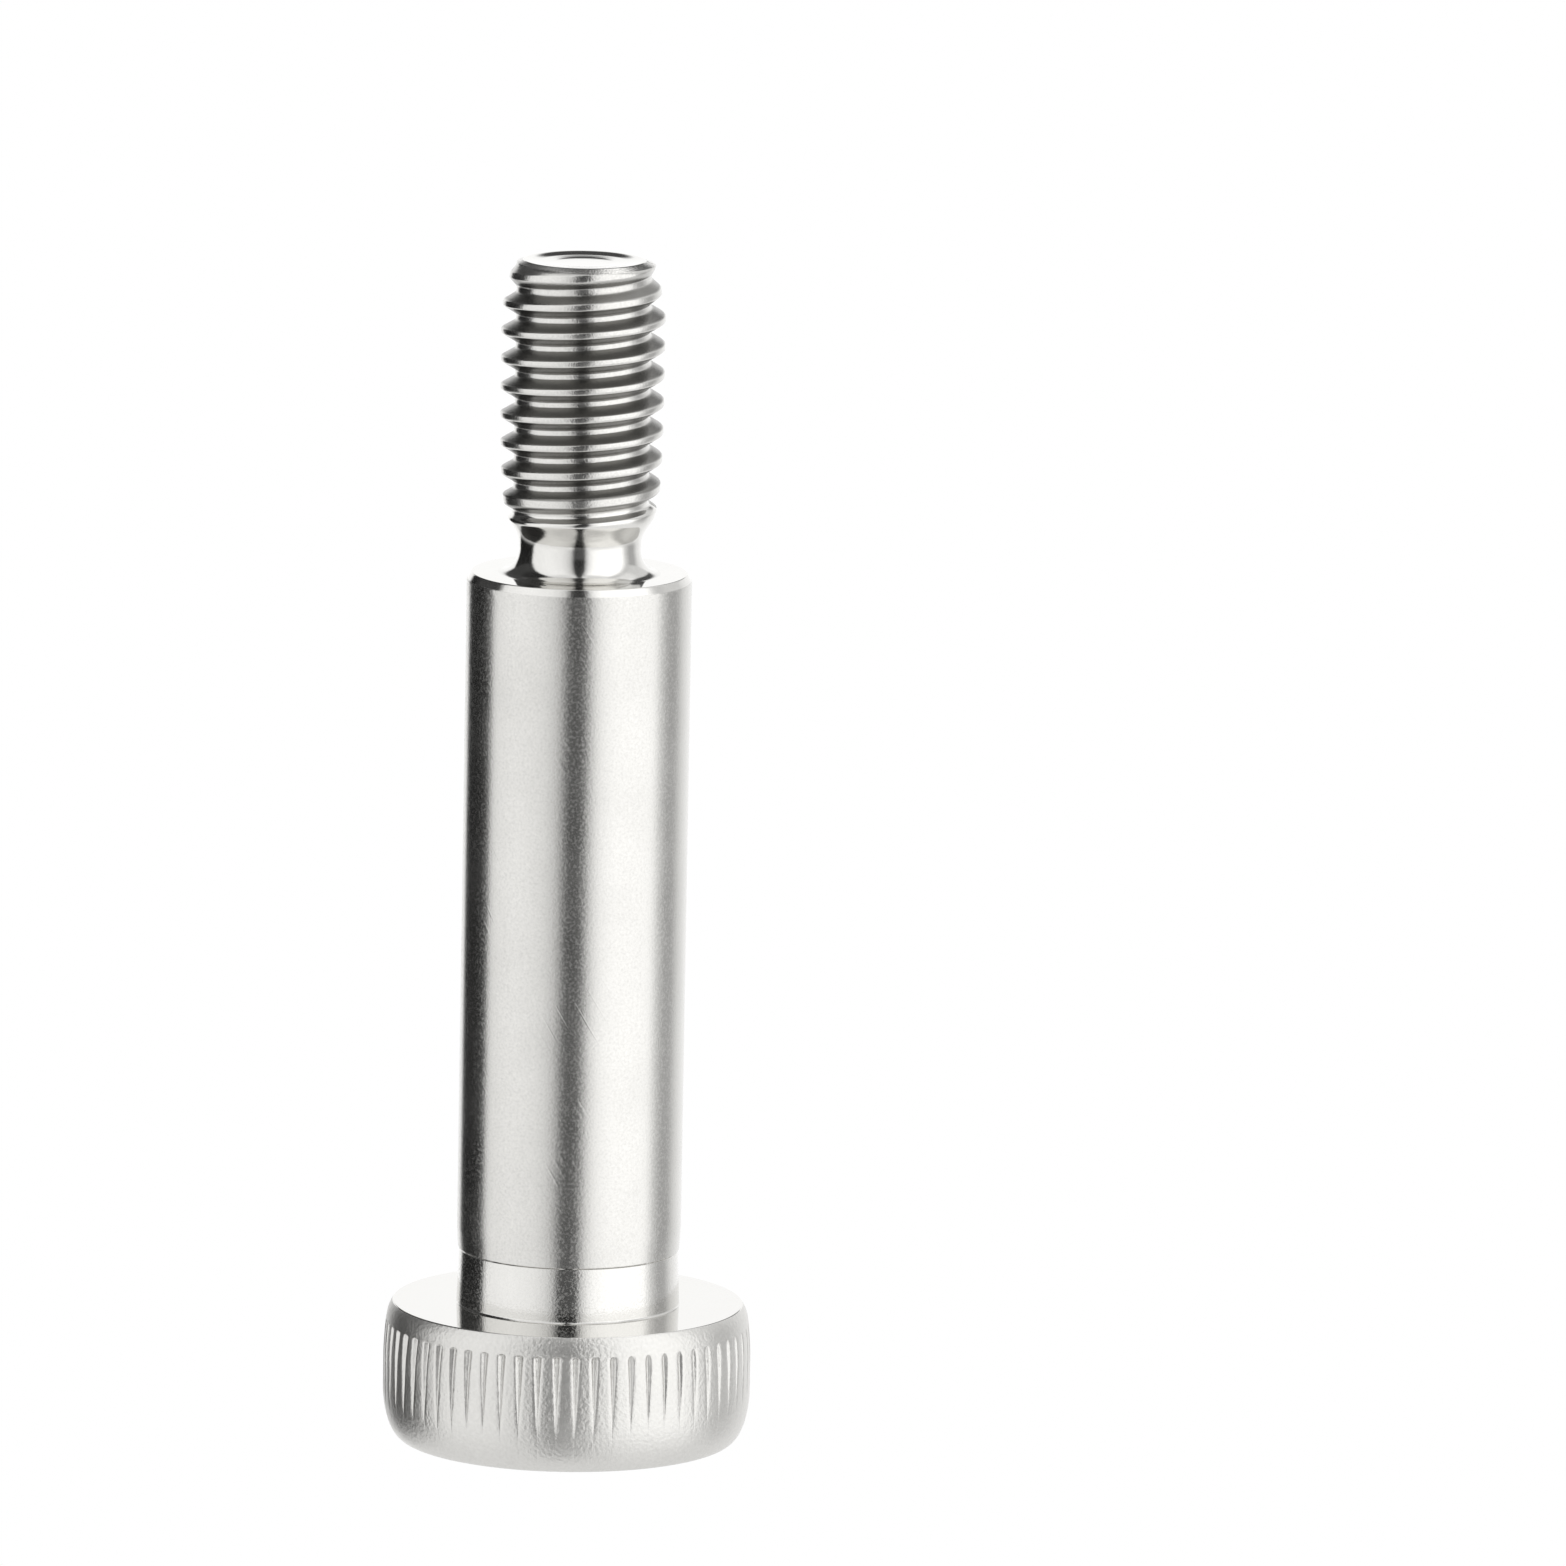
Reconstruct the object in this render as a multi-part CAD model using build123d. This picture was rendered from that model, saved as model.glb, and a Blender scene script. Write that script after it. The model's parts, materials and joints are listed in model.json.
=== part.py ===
from build123d import *
import os
from math import ceil, cos, radians, tan

# Hexagon socket head shoulder bolt, one solid piece of stainless steel.
# It stands on the end face of its head: the origin is the centre of that face, and +Z runs along the
# axis to the threaded tip.  Sizes are in millimetres, angles in degrees, heights are along +Z.

# Head
head_height = 4.95              # end face of the head to the bearing face
head_diameter = 13.08           # over the knurled land
head_round_width = 0.75         # how far the rounded end of the head turns in, radially
head_round_height = 1.90        # how far it reaches up the side
head_edge_width = 0.38          # bevel between that round and the end face, radial
head_edge_height = 0.24
land_taper_height = 1.15        # top stretch of the knurled land, along which it draws in
land_draw_in = 0.08             # radial, where the land meets the band
band_height = 0.64              # smooth band between the land and the bearing face
bearing_face_inset = 0.305      # radial, from the land in to the rim of the bearing face

# Straight knurl on the land: V grooves that run out on the rounded end
knurl_count = 61
knurl_angle = 90.0              # included angle of the V
knurl_depth = 0.15              # at the upper end
knurl_gap = 0.05                # plain stretch of the land between the band and the grooves
knurl_length = 3.0              # from there down to where the grooves run out
knurl_rise = 0.19               # how far the bottom of the V has moved outward by there
knurl_start_angle = 2.0         # place of one groove round the axis, from +X

# Hexagon socket in the end face
socket_across_flats = 6.0
socket_depth = 3.65             # end face to the corners of the conical floor
socket_floor_angle = 120.0      # included angle of that cone
dish_lead = 0.29                # conical lead-in round the mouth, radially beyond the socket's corners
dish_depth = 0.62               # where it meets the flats

# Relief on the shoulder beside the bearing face
relief_length = 2.0
relief_depth = 0.085            # radial, at the end towards the shoulder
relief_root_depth = 0.02        # radial, at the bearing face
relief_step_height = 0.06       # short slope from the relief out to the shoulder
root_flare = 0.06               # 45 degree flare between the relief and the bearing face

# Ground shoulder
shoulder_diameter = 7.97
shoulder_length = 26.35         # bearing face to the end face of the shoulder
shoulder_chamfer_width = 0.165  # radial
shoulder_chamfer_height = 0.28

# Neck between the shoulder and the thread
neck_diameter = 4.33
neck_fillet_width = 0.585       # two cones from the neck out to the shoulder's end face, radial
neck_fillet_height = 0.85
neck_flare_width = 0.14         # the upper, steeper of them, radial
neck_flare_height = 0.43
neck_length = 0.45              # plain stretch above the fillet
runout_angle = 60.0             # included angle of the cone from the neck out to the thread

# Right-hand thread.  The profile keeps its shape with the pitch.
thread_diameter = 5.80
thread_pitch = 1.0
thread_length = 11.17           # end face of the shoulder to the tip, neck included
thread_angle = 60.0             # included angle of the flanks
thread_depth = 0.575 * thread_pitch
thread_root_width = 0.15 * thread_pitch
thread_start_angle = 83.0       # where the groove begins, round the axis, level with the neck's fillet
tip_taper_width = 0.36          # how far the thread draws in towards the tip, radially
tip_taper_height = 1.75         # stretch below the tip along which it draws in
tip_edge_width = 0.40           # bevel from there in to the rim of the end face, radial
tip_edge_height = 0.16
tip_dish = 0.12                 # hollow of the end face

cutter_margin = 0.10            # how far cutting shapes stand proud of the bolt

# Radii and heights that follow from the sizes above
head_radius = head_diameter / 2
land_end_radius = head_radius - land_draw_in
bearing_radius = head_radius - bearing_face_inset
shoulder_radius = shoulder_diameter / 2
neck_radius = neck_diameter / 2
thread_radius = thread_diameter / 2
tip_edge_radius = thread_radius - tip_taper_width
tip_radius = tip_edge_radius - tip_edge_width
band_bottom = head_height - band_height
relief_top = head_height + relief_length
shoulder_end = head_height + shoulder_length
neck_bottom = shoulder_end + neck_fillet_height
tip_height = shoulder_end + thread_length


def head_outline():
    """Side of the head, from the centre of its end face to the foot of the shoulder."""
    end_rim = (head_radius - head_round_width, 0)
    edge_top = (end_rim[0] + head_edge_width, head_edge_height)
    side_bottom = (head_radius, head_round_height)
    return [
        Polyline((0, 0), end_rim, edge_top),
        TangentArc(side_bottom, edge_top, tangent=(0, -1)),
        Polyline(side_bottom,
                 (head_radius, band_bottom - land_taper_height),
                 (land_end_radius, band_bottom),
                 (bearing_radius, head_height),
                 (shoulder_radius - relief_root_depth + root_flare, head_height)),
    ]


def shank_outline():
    """Relief, shoulder, neck and the full diameter of the thread, up to the dished tip."""
    cone_height = (thread_radius - neck_radius) / tan(radians(runout_angle / 2))
    return [
        Polyline((shoulder_radius - relief_root_depth + root_flare, head_height),
                 (shoulder_radius - relief_root_depth, head_height + root_flare),
                 (shoulder_radius - relief_depth, relief_top - relief_step_height),
                 (shoulder_radius, relief_top),
                 (shoulder_radius, shoulder_end - shoulder_chamfer_height),
                 (shoulder_radius - shoulder_chamfer_width, shoulder_end),
                 (neck_radius + neck_fillet_width, shoulder_end),
                 (neck_radius + neck_flare_width, neck_bottom - neck_flare_height),
                 (neck_radius, neck_bottom),
                 (neck_radius, neck_bottom + neck_length),
                 (thread_radius, neck_bottom + neck_length + cone_height),
                 (thread_radius, tip_height - tip_taper_height),
                 (tip_edge_radius, tip_height - tip_edge_height),
                 (tip_radius, tip_height),
                 (0, tip_height - tip_dish),
                 (0, 0)),
    ]


def turned(outline):
    """Solid of revolution about the axis, from a closed outline in radius and height."""
    return revolve(make_face([Plane.XZ * line for line in outline]), Axis.Z)


def socket_cutters():
    """Hexagonal hole with its conical floor, and the conical lead-in round its mouth."""
    flat_radius = socket_across_flats / 2
    corner_radius = flat_radius / cos(radians(30))
    below = -cutter_margin
    floor_slope = tan(radians(90 - socket_floor_angle / 2))
    floor_tip = socket_depth + corner_radius * floor_slope
    reach = corner_radius + cutter_margin
    hexagon = extrude(Plane.XY.offset(below) * RegularPolygon(flat_radius, 6, major_radius=False),
                      amount=floor_tip - below)
    drill = turned([Polyline((0, below), (reach, below), (reach, floor_tip - reach * floor_slope),
                             (0, floor_tip), close=True)])
    rim_radius = corner_radius + dish_lead
    dish = turned([Polyline((0, below), (rim_radius, below), (rim_radius, 0),
                            (flat_radius, dish_depth), (0, dish_depth), close=True)])
    return [hexagon & drill, dish]


def knurl_cutters():
    """A V-shaped prism for each groove, with its edge leaning outward from the band to the run-out."""
    edge_radius = land_end_radius - knurl_depth
    outer_radius = head_radius + cutter_margin
    half_width = (outer_radius - edge_radius) * tan(radians(knurl_angle / 2))
    vee = make_face(Polyline((edge_radius, 0), (outer_radius, half_width), (outer_radius, -half_width),
                             close=True))
    groove = extrude(Plane.XY.offset(band_bottom - knurl_gap) * vee, amount=band_bottom,
                     dir=(knurl_rise, 0, -knurl_length))
    return [place * groove for place in PolarLocations(0, knurl_count, knurl_start_angle)]


def thread_turn(start_height):
    """One turn of the thread's groove, bounded by four helices: two on its root, two outside the bolt."""
    flank_slope = tan(radians(thread_angle / 2))
    crest_width = thread_pitch - thread_root_width - 2 * thread_depth * flank_slope
    root_radius = thread_radius - thread_depth
    outer_radius = thread_radius + crest_width / 4 / flank_slope
    half_root = thread_root_width / 2
    half_mouth = half_root + (outer_radius - root_radius) * flank_slope
    rails = [Helix(thread_pitch, thread_pitch, radius, center=(0, 0, start_height + lift)).edge()
             for radius, lift in ((root_radius, -half_root), (root_radius, half_root),
                                  (outer_radius, half_mouth), (outer_radius, -half_mouth))]
    sides = [Face.make_surface_from_curves(rails[i - 1], rails[i]) for i in range(len(rails))]
    ends = [make_face(Polyline(*[rail @ end for rail in rails], close=True)).face() for end in (0, 1)]
    return Rot(0, 0, thread_start_angle) * Solid(Shell(sides + ends))


def thread_cutters():
    """The groove, turn by turn, from the neck to beyond the tip."""
    turns = ceil((tip_height - neck_bottom) / thread_pitch + 0.5)
    return [thread_turn(neck_bottom + turn * thread_pitch) for turn in range(turns)]


bolt = turned(head_outline() + shank_outline())
bolt = bolt - socket_cutters() - knurl_cutters() - thread_cutters()

os.makedirs("parts", exist_ok=True)
export_step(bolt, "parts/shoulder_bolt.step")
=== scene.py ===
"""Hexagon socket shoulder bolt in stainless steel, standing on its head: skin, finishes and studio.

The bolt is one closed skin. Its sizes are metres in the mesh and millimetres in the classes below.
The axis is +Z, the origin is the centre of the head's end face, and the camera is on the -Y side.
"""

import json
import logging
import math
from dataclasses import dataclass
from enum import Enum
from functools import partial
from typing import Any, Callable

import bpy
import numpy as np
from bpy.types import Node, NodeSocket, NodeTree
from mathutils import Matrix, Vector

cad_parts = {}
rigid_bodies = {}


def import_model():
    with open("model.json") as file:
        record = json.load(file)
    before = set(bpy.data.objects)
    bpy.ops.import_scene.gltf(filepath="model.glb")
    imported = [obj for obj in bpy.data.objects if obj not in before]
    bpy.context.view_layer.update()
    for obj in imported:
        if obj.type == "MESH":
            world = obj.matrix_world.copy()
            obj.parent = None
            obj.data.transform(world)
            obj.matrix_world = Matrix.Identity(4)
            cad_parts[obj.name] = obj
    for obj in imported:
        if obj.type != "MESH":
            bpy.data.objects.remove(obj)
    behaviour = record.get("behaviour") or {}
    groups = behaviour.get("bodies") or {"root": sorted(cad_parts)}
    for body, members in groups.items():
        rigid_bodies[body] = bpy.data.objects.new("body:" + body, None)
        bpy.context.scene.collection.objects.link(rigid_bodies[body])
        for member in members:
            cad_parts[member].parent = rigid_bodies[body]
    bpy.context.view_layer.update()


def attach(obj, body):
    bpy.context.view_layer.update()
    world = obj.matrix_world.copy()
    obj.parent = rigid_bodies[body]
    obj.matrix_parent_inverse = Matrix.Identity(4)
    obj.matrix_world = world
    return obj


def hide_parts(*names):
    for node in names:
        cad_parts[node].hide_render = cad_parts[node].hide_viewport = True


log = logging.getLogger("shoulder_bolt")

FULL_TURN = 2.0 * math.pi
MM = 0.001
SAME_POINT_MM = 1e-4    # neighbours in a profile closer than this are one point
UNSHADED = "unshaded"     # point attribute: 1 on crests, roots and the unformed neck and tip, 0 on the thread's flanks, which get painted shade
MIX_A, MIX_B = 6, 7     # a Mix node's two colour inputs
SMOOTH = {"interpolation_type": "SMOOTHSTEP"}

Array = np.ndarray
Numbers = Array | float
Pair = tuple[float, float]
Triple = tuple[float, float, float]
Stops = tuple[Pair, ...]
AddNode = Callable[..., Node]   # add_node for one tree


# ---- Small helpers ----

def linear(colour: str) -> tuple[float, float, float, float]:
    """Turn an sRGB hex colour into linear red, green, blue and alpha.

    Each channel is c / 12.92 up to 0.04045 and ((c + 0.055) / 1.055) to the power 2.4 above it.

    Args:
        colour: six hex digits with a leading hash.

    Returns:
        The four linear values.
    """
    channels = np.array([int(colour[i:i + 2], 16) for i in (1, 3, 5)]) / 255.0
    values = np.where(channels <= 0.04045, channels / 12.92, ((channels + 0.055) / 1.055) ** 2.4)
    return (*map(float, values), 1.0)


def empty_tree(owner: bpy.types.Material | bpy.types.World) -> NodeTree:
    """Turn on the nodes of a material or world, and return its tree, cleared."""
    owner.use_nodes = True
    owner.node_tree.nodes.clear()
    return owner.node_tree


def add_node(tree: NodeTree, kind: str, inputs: dict[Any, Any] | None = None,
             **settings: Any) -> Node:
    """Add a shader node, set its options, and fill or link its inputs.

    Args:
        tree: the node tree.
        kind: the node's type name without the leading ShaderNode.
        inputs: for each input, by name or number, a value, an output socket to link from, or a
            node, which is linked from the first of its outputs in use.
        settings: attributes to set on the node.

    Returns:
        The new node.
    """
    node = tree.nodes.new("ShaderNode" + kind)
    for name, value in settings.items():
        setattr(node, name, value)
    for name, value in (inputs or {}).items():
        if isinstance(value, Node):
            value = next(output for output in value.outputs if output.enabled)
        if isinstance(value, NodeSocket):
            tree.links.new(value, node.inputs[name])
        else:
            node.inputs[name].default_value = value
    return node


def add_object(name: str, data: bpy.types.ID) -> bpy.types.Object:
    """Add an object with the given data to the scene."""
    added = bpy.data.objects.new(name, data)
    bpy.context.scene.collection.objects.link(added)
    return added


def fill_ramp(ramp: bpy.types.ColorRamp, stops: Stops) -> None:
    """Give a colour ramp grey stops.

    Args:
        ramp: the ramp to fill.
        stops: pairs of position and linear grey, in rising order of position.
    """
    while len(ramp.elements) < len(stops):
        ramp.elements.new(1.0)
    for element, (position, grey) in zip(ramp.elements, stops):
        element.position = position
        element.color = (grey, grey, grey, 1.0)


def soft_min(a: Array, b: Array, blend: float) -> Array:
    """Lower of two surfaces, with the crease between them rounded.

    With h = 0.5 + 0.5 (b - a) / blend held between 0 and 1, it is b + (a - b) h - blend h (1 - h).

    Args:
        a: heights of the first surface.
        b: heights of the second surface.
        blend: difference of height within which the two are mixed.

    Returns:
        The rounded minimum.
    """
    h = np.clip(0.5 + 0.5 * (b - a) / blend, 0.0, 1.0)
    return b + (a - b) * h - blend * h * (1.0 - h)


def rounded_profile(corners: list[Triple], steps: int = 5, support: float = 0.03) -> Array:
    """Turn a chain of corners into a profile whose corners are rounded.

    Each corner becomes a parabola, (1-s)^2 A + 2 s (1-s) C + s^2 B, which touches both sides at A
    and B, a given distance from the corner C. A point beyond A and B keeps the sides flat.

    Args:
        corners: radius, height and rounding distance of each corner; the first and last are kept.
        steps: number of points on each rounding.
        support: distance from the rounding to the extra point, at most 0.4 of the side.

    Returns:
        Points of the profile, radius and height, in order.
    """
    table = np.array(corners)
    spot, middle, size = table[:, :2], table[1:-1, :2], table[1:-1, 2:]
    touching, beyond = [], []
    for side in (spot[:-2] - middle, spot[2:] - middle):
        length = np.linalg.norm(side, axis=1, keepdims=True)
        side = side / length
        touching.append(middle + side * size)
        beyond.append(touching[-1] + side * np.minimum(support, 0.4 * (length - size)))
    a, b, c = touching[0][:, None], touching[1][:, None], middle[:, None]
    s = np.linspace(0.0, 1.0, steps)[None, :, None]
    arcs = (1 - s) ** 2 * a + 2 * s * (1 - s) * c + s ** 2 * b
    body = np.concatenate([beyond[0][:, None], arcs, beyond[1][:, None]], axis=1)
    points = np.concatenate([spot[:1], body.reshape(-1, 2), spot[-1:]])
    apart = np.linalg.norm(np.diff(points, axis=0), axis=1) > SAME_POINT_MM
    return points[np.concatenate([[True], apart])]


def even_angles(count: int, shift: float = 0.0) -> Array:
    """Angles of a ring, evenly spaced from the given part of a step onwards."""
    return (np.arange(count) + shift) * FULL_TURN / count


# ---- Finishes ----

class Finish(Enum):
    """The finishes on the bolt, numbered as the mesh's material slots."""

    GROUND = 0
    FACED = 1
    POLISHED = 2
    KNURLED = 3
    ROLLED = 4
    SOCKET = 5
    RELIEF = 6


class Marks(Enum):
    """The way that tool marks run over a surface."""

    NONE = "none"
    ALONG_AXIS = "rings stacked along the axis"
    ACROSS_FACE = "rings centred on the axis"


@dataclass(frozen=True)
class SteelFinish:
    """One finish of austenitic stainless steel.

    Bare stainless steel is a warm light grey metal. What sets its finishes apart is the grain's
    size and height, the tool marks, and how wide they spread a reflection. The flank shade is
    painted shade: a dull darker colour, with its own roughness, laid where the point attribute is
    low, on the thread's flanks, standing in for the shade between the turns. Sizes, heights and
    pitches are in millimetres.
    """

    name: str
    light: str = "#DDDCD9"
    dark: str = "#C9C8C5"
    roughness: float = 0.22
    roughness_spread: float = 0.04
    grain_size: float = 0.11
    grain_height: float = 0.0015
    grain_contrast: float = 0.5
    blotch_size: float = 2.2
    blotch_range: Pair = (0.3, 0.7)
    marks: Marks = Marks.NONE
    mark_pitch: float = 0.12
    mark_height: float = 0.0006
    speck_size: float = 0.0
    speck_roughness: float = 0.0
    speck_range: Pair = (0.48, 0.68)
    scratch_height: float = 0.0
    # Painted shade on the thread's flanks: its colour, laid where the point attribute is low, and
    # its roughness.
    flank_shade: str = ""
    flank_shade_roughness: float = 0.0

    def material(self) -> bpy.types.Material:
        """Build the node material.

        Patterns are computed in millimetres from Object coordinates. The grain is a noise as wide
        as one grain, and a contrast of 1 spreads its middle half over the whole range. The
        blotches are a noise a few millimetres wide, which varies colour and roughness. Specks are
        dull spots where a fine noise is high.

        Returns:
            The material.
        """
        material = bpy.data.materials.new(self.name)
        node = partial(add_node, empty_tree(material))
        place = node("TexCoord").outputs["Object"]
        in_mm = node("Mapping", {"Vector": place, "Scale": (1 / MM, 1 / MM, 1 / MM)})
        grain = node("TexNoise", {"Vector": in_mm, "Scale": 1 / self.grain_size, "Detail": 1.0})
        blotch = node("TexNoise", {"Vector": in_mm, "Scale": 1 / self.blotch_size, "Detail": 3.0})
        reach = 0.25 / self.grain_contrast
        speckle = node("MapRange", {
            "Value": grain, "From Min": 0.5 - reach, "From Max": 0.5 + reach})
        half = node("Math", {0: speckle, 1: 0.5}, operation="MULTIPLY")
        shade = node("Math", {0: blotch, 1: 0.5, 2: half}, operation="MULTIPLY_ADD")
        colour = node("Mix", {"Factor": shade, MIX_A: linear(self.dark),
                              MIX_B: linear(self.light)}, data_type="RGBA")
        rough = node("MapRange", {
            "Value": blotch, "From Min": self.blotch_range[0], "From Max": self.blotch_range[1],
            "To Min": self.roughness - self.roughness_spread,
            "To Max": self.roughness + self.roughness_spread})
        if self.speck_size > 0.0:
            specks = node("TexNoise", {"Vector": in_mm, "Scale": 1 / self.speck_size, "Detail": 0.0})
            rough = node("MapRange", {
                "Value": specks, "From Min": self.speck_range[0], "From Max": self.speck_range[1],
                "To Min": rough, "To Max": self.speck_roughness}, **SMOOTH)
        # Painted shade: where the point attribute is low, on the thread's flanks, the colour darkens
        # to the shade colour and the roughness moves to the shade's own.
        if self.flank_shade:
            unshaded = node("Attribute", attribute_name=UNSHADED).outputs["Fac"]
            colour = node("Mix", {"Factor": unshaded, MIX_A: linear(self.flank_shade), MIX_B: colour},
                          data_type="RGBA")
            rough = node("MapRange", {
                "Value": unshaded, "To Min": self.flank_shade_roughness, "To Max": rough})
        relief = [(grain, self.grain_height)]
        if self.marks is not Marks.NONE:
            relief.append((self._tool_marks(node, in_mm), self.mark_height))
        if self.scratch_height > 0.0:
            relief.append((self._scratches(node, in_mm), self.scratch_height))
        below: dict[str, Node] = {}
        for pattern, height in relief:
            below = {"Normal": node("Bump", {
                "Height": pattern, "Distance": height * MM, **below})}
        shader = node("BsdfPrincipled", {
            "Base Color": colour, "Metallic": 1.0, "Roughness": rough, **below})
        node("OutputMaterial", {"Surface": shader})
        return material

    def _tool_marks(self, node: AddNode, in_mm: Node) -> Node:
        """Add tool marks: a noise in one dimension, over the height or the distance from the axis.

        Args:
            node: adds a node to the material.
            in_mm: position in millimetres.

        Returns:
            Their height.
        """
        along_x, along_y, along = node("SeparateXYZ", {"Vector": in_mm}).outputs
        if self.marks is Marks.ACROSS_FACE:
            flat = node("CombineXYZ", {"X": along_x, "Y": along_y})
            along = node("VectorMath", {0: flat}, operation="LENGTH")
        return node("TexNoise", {"W": along, "Scale": 1 / self.mark_pitch, "Detail": 3.0,
                                 "Roughness": 0.6}, noise_dimensions="1D")

    def _scratches(self, node: AddNode, in_mm: Node) -> Node:
        """Add sparse hairline scratches.

        They are straight lines where a noise over one slanted direction crosses its middle, kept
        only in the few places where a broad second noise is high.

        Args:
            node: adds a node to the material.
            in_mm: position in millimetres.

        Returns:
            Their height.
        """
        turned = node("Mapping", {"Vector": in_mm, "Rotation": (0.25, 0.5, 0.2)})
        across = node("SeparateXYZ", {"Vector": turned}).outputs["X"]
        lines = node("TexNoise", {"W": across, "Scale": 1.6, "Detail": 0.0}, noise_dimensions="1D")
        away = node("Math", {0: lines, 1: 0.5}, operation="SUBTRACT")
        away = node("Math", {0: away}, operation="ABSOLUTE")
        sparse = node("TexNoise", {"Vector": turned, "Scale": 0.55, "Detail": 0.0})
        depth = node("MapRange", {"Value": sparse, "From Min": 0.62, "From Max": 0.74}, **SMOOTH)
        return node("MapRange", {"Value": away, "From Max": 0.05, "To Min": depth, "To Max": 0.0},
                    **SMOOTH)


FINISHES: dict[Finish, SteelFinish] = {
    # Centreless ground, then tumbled: soft upright reflections full of fine light and dark specks.
    Finish.GROUND: SteelFinish(
        "stainless_ground_shoulder", light="#DFDEDB", dark="#C3C2BF", roughness=0.2,
        roughness_spread=0.02, grain_size=0.095, grain_height=0.0028, grain_contrast=0.9,
        speck_size=0.095, speck_roughness=0.265, scratch_height=0.0018),
    # Faced on a lathe with a fine feed: near mirror, with faint rings round the axis.
    Finish.FACED: SteelFinish(
        "stainless_turned_face", light="#E6E5E2", dark="#DAD9D6", roughness=0.055,
        roughness_spread=0.015, grain_height=0.0004, marks=Marks.ACROSS_FACE,
        mark_height=0.0008),
    # Turned and burnished: crisp reflections with faint rings along the axis.
    Finish.POLISHED: SteelFinish(
        "stainless_burnished", light="#E4E3E0", dark="#D6D5D2", roughness=0.11,
        roughness_spread=0.02, grain_height=0.001, marks=Marks.ALONG_AXIS,
        mark_height=0.0004),
    # Plunge turned and lightly tumbled: brighter and sharper than the ground shoulder above it.
    Finish.RELIEF: SteelFinish(
        "stainless_turned_relief", light="#E4E3E0", dark="#D2D1CE", roughness=0.13,
        roughness_spread=0.03, grain_size=0.08, grain_height=0.003, speck_size=0.075,
        speck_roughness=0.25, marks=Marks.ALONG_AXIS, mark_height=0.0004),
    # Cold formed head, straight knurled and tumbled: silky, fine grain, soft worn edges.
    Finish.KNURLED: SteelFinish(
        "stainless_tumbled_head", dark="#CAC9C6", roughness=0.36, grain_size=0.12,
        grain_height=0.014, grain_contrast=0.8),
    # Rolled thread: crests and roots bright; the flanks get a dull grey painted shade, standing in
    # for the shade between the turns.
    Finish.ROLLED: SteelFinish(
        "stainless_rolled_thread", light="#E0DFDC", dark="#C6C5C2", roughness=0.2,
        roughness_spread=0.03, grain_size=0.08, grain_height=0.005, grain_contrast=0.8,
        flank_shade="#868582", flank_shade_roughness=0.26),
    # Punched socket: drawn walls, a little darker from the lubricant burnt on in forming.
    Finish.SOCKET: SteelFinish(
        "stainless_punched_socket", light="#C9C8C5", dark="#A9A8A5", roughness=0.26,
        roughness_spread=0.06, grain_size=0.16, grain_height=0.008, marks=Marks.ALONG_AXIS,
        mark_pitch=0.3),
}


# ---- The skin ----

@dataclass
class Loop:
    """A closed chain of points round the axis: their numbers in the skin and their angles."""

    ids: Array
    angles: Array


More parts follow.
